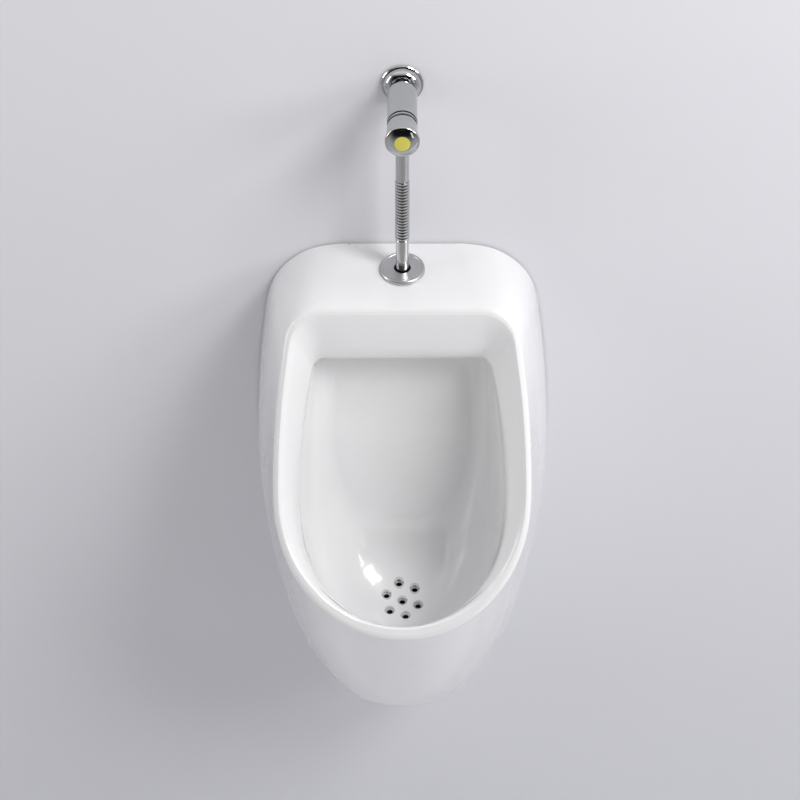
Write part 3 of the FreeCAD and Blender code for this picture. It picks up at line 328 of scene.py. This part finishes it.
def hole_places():
    """Middle hole and the ring round it, as points on the plane Z = 0."""
    places = [Vector((0.0, -DRAIN_DEPTH, 0.0))]
    for hole in range(DRAIN_HOLES):
        angle = DRAIN_TURN + hole * 2 * math.pi / DRAIN_HOLES
        step = Vector((-math.sin(angle), math.cos(angle), 0.0)) * DRAIN_RING_RADIUS
        places.append(places[0] + step)
    return places


def paint_hole_shade(material):
    """Paint shade into a glaze: near black in the bores and grey on the bevels."""
    tree = material.node_tree
    shader = tree.nodes["Principled BSDF"]
    spot = add(tree, "ShaderNodeTexCoord")
    flat = add(tree, "ShaderNodeVectorMath", operation="MULTIPLY")
    tree.links.new(spot.outputs["Object"], flat.inputs[0])
    flat.inputs[1].default_value = (1, 1, 0)
    nearest = None
    for place in hole_places():
        gap = add(tree, "ShaderNodeVectorMath", operation="DISTANCE")
        tree.links.new(flat.outputs[0], gap.inputs[0])
        gap.inputs[1].default_value = place
        if nearest is None:
            nearest = gap.outputs["Value"]
            continue
        shorter = add(tree, "ShaderNodeMath", operation="MINIMUM")
        tree.links.new(nearest, shorter.inputs[0])
        tree.links.new(gap.outputs["Value"], shorter.inputs[1])
        nearest = shorter.outputs[0]
    height = add(tree, "ShaderNodeSeparateXYZ", Vector=spot.outputs["Object"])
    above = add(tree, "ShaderNodeMath", operation="GREATER_THAN")
    tree.links.new(height.outputs["Z"], above.inputs[0])
    above.inputs[1].default_value = STRAINER_LOW
    below = add(tree, "ShaderNodeMath", operation="LESS_THAN")
    tree.links.new(height.outputs["Z"], below.inputs[0])
    below.inputs[1].default_value = STRAINER_HIGH
    inside = add(tree, "ShaderNodeMath", operation="MULTIPLY")
    tree.links.new(above.outputs[0], inside.inputs[0])
    tree.links.new(below.outputs[0], inside.inputs[1])
    tint = shader.inputs["Base Color"].links[0].from_socket
    # Two ramps paint shade: grey on the bevels, then near black in the bores
    for radius, colour in ((BEVEL_RADIUS, BEVEL_PAINTED_SHADE), (BORE_RADIUS, BORE_PAINTED_SHADE)):
        ramp = add(tree, "ShaderNodeMapRange", Value=nearest)
        ramp.inputs["From Min"].default_value = radius + EDGE_BLUR
        ramp.inputs["From Max"].default_value = radius
        tree.links.new(inside.outputs[0], ramp.inputs["To Max"])
        tint = mix(tree, "RGBA", ramp.outputs["Result"], tint, colour)
    tree.links.new(tint, shader.inputs["Base Color"])


paint_hole_shade(glaze)
print("holes:", len(hole_places()))

# %% [markdown]
# ## Chrome
# Chrome plate is nearly a mirror, so it shows the room more than itself. A perfect mirror is what gives
# a computer's chrome away. Two things keep this one from it: water marks that dull it in patches, and
# faint lathe rings, which run round whatever axis the piece was turned on.

# %% Materials: chrome
CHROME = (0.56, 0.565, 0.57)
CHROME_DULL = (0.53, 0.535, 0.54)
CHROME_SMOOTH = 0.03
CHROME_MARKED = 0.07
ALONG_VALVE = (0.0, 1.0, 0.0)
UPRIGHT = (0.0, 0.0, 1.0)


def make_chrome(name, centre, axis, ring_strength):
    """Chrome plate over a piece turned about an axis."""
    material, tree, shader = start_material(name, CHROME, CHROME_SMOOTH, metallic=1.0)
    tones = {"Tone": (*CHROME, 1), "Other tone": (*CHROME_DULL, 1)}
    marks = use_group(tree, tone, **tones, Size=0.02, Sharpness=0.4)
    tree.links.new(marks.outputs["Color"], shader.inputs["Base Color"])
    dull = add(tree, "ShaderNodeMapRange", Value=marks.outputs["Mask"])
    dull.inputs["To Min"].default_value = CHROME_SMOOTH
    dull.inputs["To Max"].default_value = CHROME_MARKED
    tree.links.new(dull.outputs["Result"], shader.inputs["Roughness"])
    lathe = use_group(tree, rings, Centre=centre, Axis=axis, Ring_width=0.0006)
    height = lathe.outputs["Height"]
    bump = add(tree, "ShaderNodeBump", Strength=ring_strength, Distance=0.0002, Height=height)
    tree.links.new(bump.outputs["Normal"], shader.inputs["Normal"])
    return material


valve_chrome = make_chrome("valve chrome", valve_axis, ALONG_VALVE, ring_strength=0.12)
button_chrome = make_chrome("button chrome", valve_axis, ALONG_VALVE, ring_strength=0.05)
pipe_chrome = make_chrome("pipe chrome", pipe_axis, UPRIGHT, ring_strength=0.1)
print("materials:", valve_chrome.name, button_chrome.name, pipe_chrome.name)

# %% [markdown]
# ## Painted shade in the grooves between the ribs
# The grooves between the pipe's ribs are painted dark, as painted shade, so the ribs stand out. A
# painted picture of stripes would have to be lined up with them. The rings group already knows how far
# each point lies from the pipe's axis, and only the grooves lie as near to it as this.

# %% Painted shade in the pipe's grooves
# Painted shade: a near-black tone laid into the grooves
GROOVE_PAINTED_SHADE = (0.10, 0.10, 0.105)
GROOVE_BOTTOM = 0.0073
GROOVE_TOP = 0.0079


def paint_groove_shade(material):
    """Painted shade wherever the pipe's surface lies deep."""
    tree = material.node_tree
    shader = tree.nodes["Principled BSDF"]
    plate = shader.inputs["Base Color"].links[0].from_socket
    lathe = use_group(tree, rings, Centre=pipe_axis, Axis=UPRIGHT)
    away = lathe.outputs["Away"]
    # Painted shade, from the groove's top down to its bottom
    groove_shade = add(tree, "ShaderNodeMapRange", interpolation_type="SMOOTHSTEP", Value=away)
    groove_shade.inputs["From Min"].default_value = GROOVE_TOP
    groove_shade.inputs["From Max"].default_value = GROOVE_BOTTOM
    groove_shaded_plate = mix(tree, "RGBA", groove_shade.outputs["Result"], plate, (*GROOVE_PAINTED_SHADE, 1))
    tree.links.new(groove_shaded_plate, shader.inputs["Base Color"])


paint_groove_shade(pipe_chrome)
print("film from", GROOVE_TOP, "down to", GROOVE_BOTTOM, "m off the axis")

# %% [markdown]
# ## Brushed and turned metals
# The deck cover, the brackets, the stem, the springs and the brass parts share one recipe: a metal
# with strong lathe or brush rings that also roughen it. Only colour, roughness and axis differ, so one
# function makes all of them, and the look stays the same from piece to piece.

# %% Recipe for bare metal
RING_POLISHED = 0.7
RING_ROUGH = 1.5


def make_turned_metal(name, colours, turned_on, roughness, ring_width, ring_strength):
    """Bare metal with rings round an axis and a drifting tone."""
    colour, other = colours
    centre, axis = turned_on
    material, tree, shader = start_material(name, colour, roughness, metallic=1.0)
    tones = {"Tone": (*colour, 1), "Other tone": (*other, 1)}
    drift = use_group(tree, tone, **tones, Size=0.02, Sharpness=0.3)
    tree.links.new(drift.outputs["Color"], shader.inputs["Base Color"])
    lathe = use_group(tree, rings, Centre=centre, Axis=axis, Ring_width=ring_width)
    height = lathe.outputs["Height"]
    rough = add(tree, "ShaderNodeMapRange", Value=height)
    rough.inputs["To Min"].default_value = roughness * RING_POLISHED
    rough.inputs["To Max"].default_value = roughness * RING_ROUGH
    tree.links.new(rough.outputs["Result"], shader.inputs["Roughness"])
    bump = add(tree, "ShaderNodeBump", Strength=ring_strength, Distance=0.0003, Height=height)
    tree.links.new(bump.outputs["Normal"], shader.inputs["Normal"])
    return material


print("rings polish to", RING_POLISHED, "and roughen to", RING_ROUGH, "of a metal's roughness")

# %% [markdown]
# ## The metals of this piece
# The deck cover is a brushed disc that lies on the sloping deck, so its rings turn on a tilted axis.
# The brackets are rolled strip, and an axis along X gives flat pieces like them an even grain. All
# else was turned or wound on the valve's axis.

# %% Materials: steel and brass
STEEL = (0.60, 0.60, 0.605)
STEEL_DARK = (0.50, 0.50, 0.505)
BRASS = (0.72, 0.52, 0.24)
BRASS_DARK = (0.60, 0.42, 0.18)
COVER_TILT = math.radians(7)
COVER_AXIS = (0.0, -math.sin(COVER_TILT), math.cos(COVER_TILT))
ACROSS = (1.0, 0.0, 0.0)

steel = (STEEL, STEEL_DARK)
dark_steel = (STEEL_DARK, STEEL)
brass = (BRASS, BRASS_DARK)
on_valve = (valve_axis, ALONG_VALVE)
on_cover = (cover_centre, COVER_AXIS)
on_strip = (Vector(), ACROSS)
cover_steel = make_turned_metal(
    "cover steel", steel, on_cover, roughness=0.26, ring_width=0.0005, ring_strength=0.22
)
stem_steel = make_turned_metal(
    "stem steel", steel, on_valve, roughness=0.2, ring_width=0.0004, ring_strength=0.3
)
spring_steel = make_turned_metal(
    "spring steel", steel, on_valve, roughness=0.25, ring_width=0.0009, ring_strength=0.1
)
filter_steel = make_turned_metal(
    "filter steel", steel, on_valve, roughness=0.3, ring_width=0.0006, ring_strength=0.2
)
strip_steel = make_turned_metal(
    "strip steel", dark_steel, on_strip, roughness=0.35, ring_width=0.0012, ring_strength=0.3
)
turned_brass = make_turned_metal(
    "turned brass", brass, on_valve, roughness=0.22, ring_width=0.0005, ring_strength=0.3
)
print("materials:", cover_steel.name, turned_brass.name, strip_steel.name)

# %% [markdown]
# ## Rubber and plastic
# Rubber seals are dull and dusty, the waste pipe is a satin grey plastic, the cage is a white one, and
# the disc in the button is a bright glossy yellow. All are the same two effects with other values, so
# again one function does, and the yellow disc gets a clear coat on top.

# %% Recipe for mouldings
DUSTY_ROUGH = 1.3


def make_moulding(name, colour, other, roughness, grain, bump_strength):
    """Moulded rubber or plastic with a fine grain and a drifting tone."""
    material, tree, shader = start_material(name, colour, roughness)
    tones = {"Tone": (*colour, 1), "Other tone": (*other, 1)}
    drift = use_group(tree, tone, **tones, Size=0.015, Sharpness=0.3)
    tree.links.new(drift.outputs["Color"], shader.inputs["Base Color"])
    rough = add(tree, "ShaderNodeMapRange", Value=drift.outputs["Mask"])
    rough.inputs["To Min"].default_value = roughness
    rough.inputs["To Max"].default_value = roughness * DUSTY_ROUGH
    tree.links.new(rough.outputs["Result"], shader.inputs["Roughness"])
    fine = use_group(tree, waves, Size=grain, Detail=3.0)
    height = fine.outputs["Height"]
    bump = add(tree, "ShaderNodeBump", Strength=bump_strength, Distance=0.0003, Height=height)
    tree.links.new(bump.outputs["Normal"], shader.inputs["Normal"])
    return material


print("dust roughens to", DUSTY_ROUGH, "of a moulding's roughness")

# %% [markdown]
# ## The rubbers and plastics of this piece
# Each has a clean tone and one that age or dust gives it. Black rubber isn't black, and white plastic
# turns towards cream. The grain is the size of the mould's texture, in metres.

# %% Materials: rubber and plastic
SEAL = (0.025, 0.025, 0.026)
SEAL_DUSTY = (0.05, 0.05, 0.05)
LINER = (0.05, 0.05, 0.05)
LINER_DUSTY = (0.08, 0.08, 0.078)
PIPE_GREY = (0.42, 0.43, 0.44)
PIPE_WORN = (0.37, 0.38, 0.39)
CAGE_WHITE = (0.74, 0.73, 0.68)
CAGE_AGED = (0.68, 0.67, 0.62)
YELLOW = (0.68, 0.63, 0.10)
YELLOW_DEEP = (0.63, 0.58, 0.085)
DISC_COAT = 0.6

seal_rubber = make_moulding(
    "seal rubber", SEAL, SEAL_DUSTY, roughness=0.55, grain=0.0008, bump_strength=0.3
)
liner_rubber = make_moulding(
    "liner rubber", LINER, LINER_DUSTY, roughness=0.6, grain=0.001, bump_strength=0.4
)
waste_plastic = make_moulding(
    "waste plastic", PIPE_GREY, PIPE_WORN, roughness=0.35, grain=0.0012, bump_strength=0.15
)
cage_plastic = make_moulding(
    "cage plastic", CAGE_WHITE, CAGE_AGED, roughness=0.4, grain=0.001, bump_strength=0.15
)
disc_yellow = make_moulding(
    "disc yellow", YELLOW, YELLOW_DEEP, roughness=0.22, grain=0.003, bump_strength=0.08
)
disc_shader = disc_yellow.node_tree.nodes["Principled BSDF"]
disc_shader.inputs["Coat Weight"].default_value = DISC_COAT
print("materials:", seal_rubber.name, waste_plastic.name, disc_yellow.name)

# %% [markdown]
# ## Dressing the nodes
# One table says which finish each piece has. New meshes with more detail would be the other way, but
# the solids already have their true shapes. So every node keeps its own mesh, and a material in its
# first slot is all that it needs.

# %% Give every node its material
finish_of = {
    "ceramic_body": glaze,
    "hanger_bracket_left": strip_steel,
    "hanger_bracket_right": strip_steel,
    "hanger_liners": liner_rubber,
    "deck_cover": cover_steel,
    "inlet_seal": seal_rubber,
    "flush_pipe": pipe_chrome,
    "pipe_gasket": seal_rubber,
    "coupling_nut": valve_chrome,
    "valve_body": valve_chrome,
    "inlet_nipple": turned_brass,
    "inlet_filter": filter_steel,
    "wall_flange": valve_chrome,
    "seat_ring": turned_brass,
    "seat_cage": cage_plastic,
    "bonnet": valve_chrome,
    "bonnet_gasket": seal_rubber,
    "stem_seal": seal_rubber,
    "stem": stem_steel,
    "poppet": turned_brass,
    "poppet_washer": seal_rubber,
    "poppet_spring": spring_steel,
    "dash_piston": turned_brass,
    "piston_cup": seal_rubber,
    "button_cap": button_chrome,
    "button_disc": disc_yellow,
    "button_screw": stem_steel,
    "button_spring": spring_steel,
    "waste_pipe": waste_plastic,
    "waste_seal": seal_rubber,
    "wall_ring": seal_rubber,
}
for name, material in finish_of.items():
    mesh = nodes[name].data
    mesh.materials.clear()
    mesh.materials.append(material)
print("dressed:", len(finish_of), "of", len(nodes))

# %% [markdown]
# ## Springs with meshes of their own
# Both springs stand between a part that stays and one that moves with the button. A rigid spring would
# cut into its neighbour at the end of the stroke. The real one shortens by the whole stroke. Here each
# spring only gets a mesh of its own.

# %% Give each spring its own mesh
press = frame["record"]["behaviour"]["joints"][0]
for row in press["deforming_nodes"]:
    spring = nodes[row["node"]]
    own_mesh(spring)

# %% [markdown]
# ## Wall paint
# The photo shows a plain pale wall. A single sheet of it is enough, but then it would hide the hollow
# back of the body from behind. So its back side is clear: a mix of paint and a transparent shader
# follows which side of the sheet is seen. Matt paint scatters nearly all of its light, so it is rough
# and hardly mirrors. The floor is painted alike.

# %% Material: wall paint
WALL_TONE = (0.74, 0.74, 0.777)
WALL_ROUGH = 0.8
WALL_SPECULAR = 0.1

wall_paint, tree, shader = start_material("wall paint", WALL_TONE, WALL_ROUGH)
shader.inputs["Specular IOR Level"].default_value = WALL_SPECULAR
clear = add(tree, "ShaderNodeBsdfTransparent")
seen_from = add(tree, "ShaderNodeNewGeometry")
either = add(tree, "ShaderNodeMixShader")
tree.links.new(seen_from.outputs["Backfacing"], either.inputs["Fac"])
tree.links.new(shader.outputs["BSDF"], either.inputs[1])
tree.links.new(clear.outputs["BSDF"], either.inputs[2])
tree.links.new(either.outputs["Shader"], tree.nodes["Material Output"].inputs["Surface"])
print("material:", wall_paint.name)

# %% [markdown]
# ## Wall and floor
# Clear from behind isn't enough: no light would reach the hollow back through the sheet's front. So
# the wall has two windows, a little smaller than what stands before them, the body and the valve's
# flange. From the room nothing of them shows. Each half of the wall is one many-sided face, which
# runs round its outer edge, then down its inner edge and round both half windows.
# The ware hangs two millimetres off the sheet, which draws the thin dark line round it.

# %% Sheets for the wall and the floor
WALL_SIZE = 7.0
WALL_GAP = 0.002
FLOOR_HEIGHT = -1.1
FLOOR_DEPTH = 1.2
VALVE_WINDOW_RADIUS = 0.018
WINDOW_STEPS = 8
BODY_WINDOW = [
    (0.0, 0.045), (0.135, 0.045), (0.163, 0.0), (0.18, -0.15), (0.18, -0.22),
    (0.166, -0.32), (0.135, -0.44), (0.085, -0.55), (0.0, -0.562),
]


def half_wall():
    """Outline of the wall's right half, as (x, z) points."""
    side = WALL_SIZE / 2
    top = FLOOR_HEIGHT + WALL_SIZE
    edge = [(0.0, FLOOR_HEIGHT), (side, FLOOR_HEIGHT), (side, top), (0.0, top)]
    window = []
    for step in range(WINDOW_STEPS + 1):
        angle = math.pi * step / WINDOW_STEPS
        across = VALVE_WINDOW_RADIUS * math.sin(angle)
        upward = VALVE_WINDOW_RADIUS * math.cos(angle)
        window.append((across, valve_axis.z + upward))
    return edge + window + BODY_WINDOW


def make_sheet(name, corners, faces):
    """Flat sheet that is part of the stage and not of the object."""
    mesh = bpy.data.meshes.new(name)
    mesh.from_pydata(corners, [], faces)
    mesh.materials.append(wall_paint)
    sheet = bpy.data.objects.new(name, mesh)
    bpy.context.scene.collection.objects.link(sheet)
    return sheet


right = [(x, WALL_GAP, z) for x, z in half_wall()]
left = [(-x, y, z) for x, y, z in reversed(right)]
count = len(right)
wall = make_sheet("wall", right + left, [range(count), range(count, 2 * count)])
side = WALL_SIZE / 2
near = WALL_GAP - FLOOR_DEPTH
ground = [(-side, near), (side, near), (side, WALL_GAP), (-side, WALL_GAP)]
floor = make_sheet("floor", [(x, y, FLOOR_HEIGHT) for x, y in ground], [range(len(ground))])
print("stage:", wall.name, "with", count, "points a side, and", floor.name)

# %% [markdown]
# ## Lamps
# The photo's shadows are wide and soft and fall to the left and a little down. Large lamps make such
# shadows, and small ones hard edges. So the main lamp is a large panel high on the right. The side
# panel below it opens the bowl's right cheek, the left strip lights the rim's left flank and draws its
# highlight, and the weak front strip shows only in the chrome, as the pale wedge on the button.

# %% Panels of light
AIM = Vector((0.0, -0.12, -0.1))


def make_panel(name, location, width, height, power):
    """Area lamp of a given size that faces the object."""
    data = bpy.data.lights.new(name, "AREA")
    data.shape = "RECTANGLE"
    data.size = width
    data.size_y = height
    data.energy = power
    panel = bpy.data.objects.new(name, data)
    bpy.context.scene.collection.objects.link(panel)
    panel.location = location
    panel.rotation_euler = (AIM - panel.location).to_track_quat("-Z", "Y").to_euler()
    return panel


make_panel("high panel", (1.8, -1.6, 2.5), width=1.1, height=1.1, power=59)
make_panel("side panel", (2.7, -1.6, 1.4), width=1.1, height=1.1, power=29)
make_panel("left strip", (-2.2, -0.55, 0.7), width=0.5, height=1.4, power=11.5)
make_panel("front strip", (1.75, -2.4, 0.4), width=0.45, height=1.3, power=2)

# %% [markdown]
# ## The room's plain light
# The world stands for the room and fills the shadows. It is brighter below than above, because a pale
# floor throws light up at the ware. That takes no more than a dot product with the ray's direction.

# %% World with a brighter lower half
ROOM_FILL = 0.48
ROOM_LEAN = (0.0, 0.0, -0.42)

world = bpy.data.worlds.new("room")
bpy.context.scene.world = world
world.use_nodes = True
room = world.node_tree
way = add(room, "ShaderNodeTexCoord")
lean = add(room, "ShaderNodeVectorMath", operation="DOT_PRODUCT")
room.links.new(way.outputs["Generated"], lean.inputs[0])
lean.inputs[1].default_value = ROOM_LEAN
fill = add(room, "ShaderNodeMath", operation="ADD")
room.links.new(lean.outputs["Value"], fill.inputs[0])
fill.inputs[1].default_value = ROOM_FILL
print("room:", world.name, "fill", ROOM_FILL)

# %% [markdown]
# ## What the chrome sees
# Chrome in an even room looks like grey paint. Real boards and lamps round the object would mend that,
# but they would change the light on everything else too. So only mirrored rays find two things that the
# plain light hasn't: a dark patch in front, where the camera and its stand would be, and a glowing
# ceiling. The glaze's coat mirrors them too, but faintly. Both are soft spots round a direction, and
# one function makes both.

# %% A dark patch and a ceiling for mirrored rays
ROOM_MIRRORED = 0.5
ROOM_DARK = 0.01
DARK_PATCH = (0.0, -0.87, 0.49)
PATCH_EDGE = 0.3
PATCH_MIDDLE = 0.85
CEILING = (0.0, 0.0, 1.0)
CEILING_EDGE = 0.45
CEILING_MIDDLE = 0.9
CEILING_GLOW = 0.8


def soft_spot(direction, edge, middle, outside, inside):
    """Value that goes softly from one level to another round a direction in the room."""
    toward = add(room, "ShaderNodeVectorMath", operation="DOT_PRODUCT")
    room.links.new(way.outputs["Generated"], toward.inputs[0])
    toward.inputs[1].default_value = direction
    nearness = toward.outputs["Value"]
    spot = add(room, "ShaderNodeMapRange", interpolation_type="SMOOTHSTEP", Value=nearness)
    spot.inputs["From Min"].default_value = edge
    spot.inputs["From Max"].default_value = middle
    spot.inputs["To Min"].default_value = outside
    spot.inputs["To Max"].default_value = inside
    return spot.outputs["Result"]


patch = soft_spot(DARK_PATCH, PATCH_EDGE, PATCH_MIDDLE, ROOM_MIRRORED, ROOM_DARK)
glow = soft_spot(CEILING, CEILING_EDGE, CEILING_MIDDLE, 0.0, CEILING_GLOW)
mirrored = add(room, "ShaderNodeMath", operation="ADD")
room.links.new(patch, mirrored.inputs[0])
room.links.new(glow, mirrored.inputs[1])
ray = add(room, "ShaderNodeLightPath")
is_mirrored = ray.outputs["Is Glossy Ray"]
level = mix(room, "FLOAT", is_mirrored, fill.outputs[0], mirrored.outputs[0])
sky = room.nodes["Background"]
sky.inputs["Color"].default_value = (1, 1, 1, 1)
room.links.new(level, sky.inputs["Strength"])
bpy.context.scene.view_settings.view_transform = "Standard"
print("mirrored room:", ROOM_MIRRORED, "patch", ROOM_DARK, "ceiling", CEILING_GLOW)
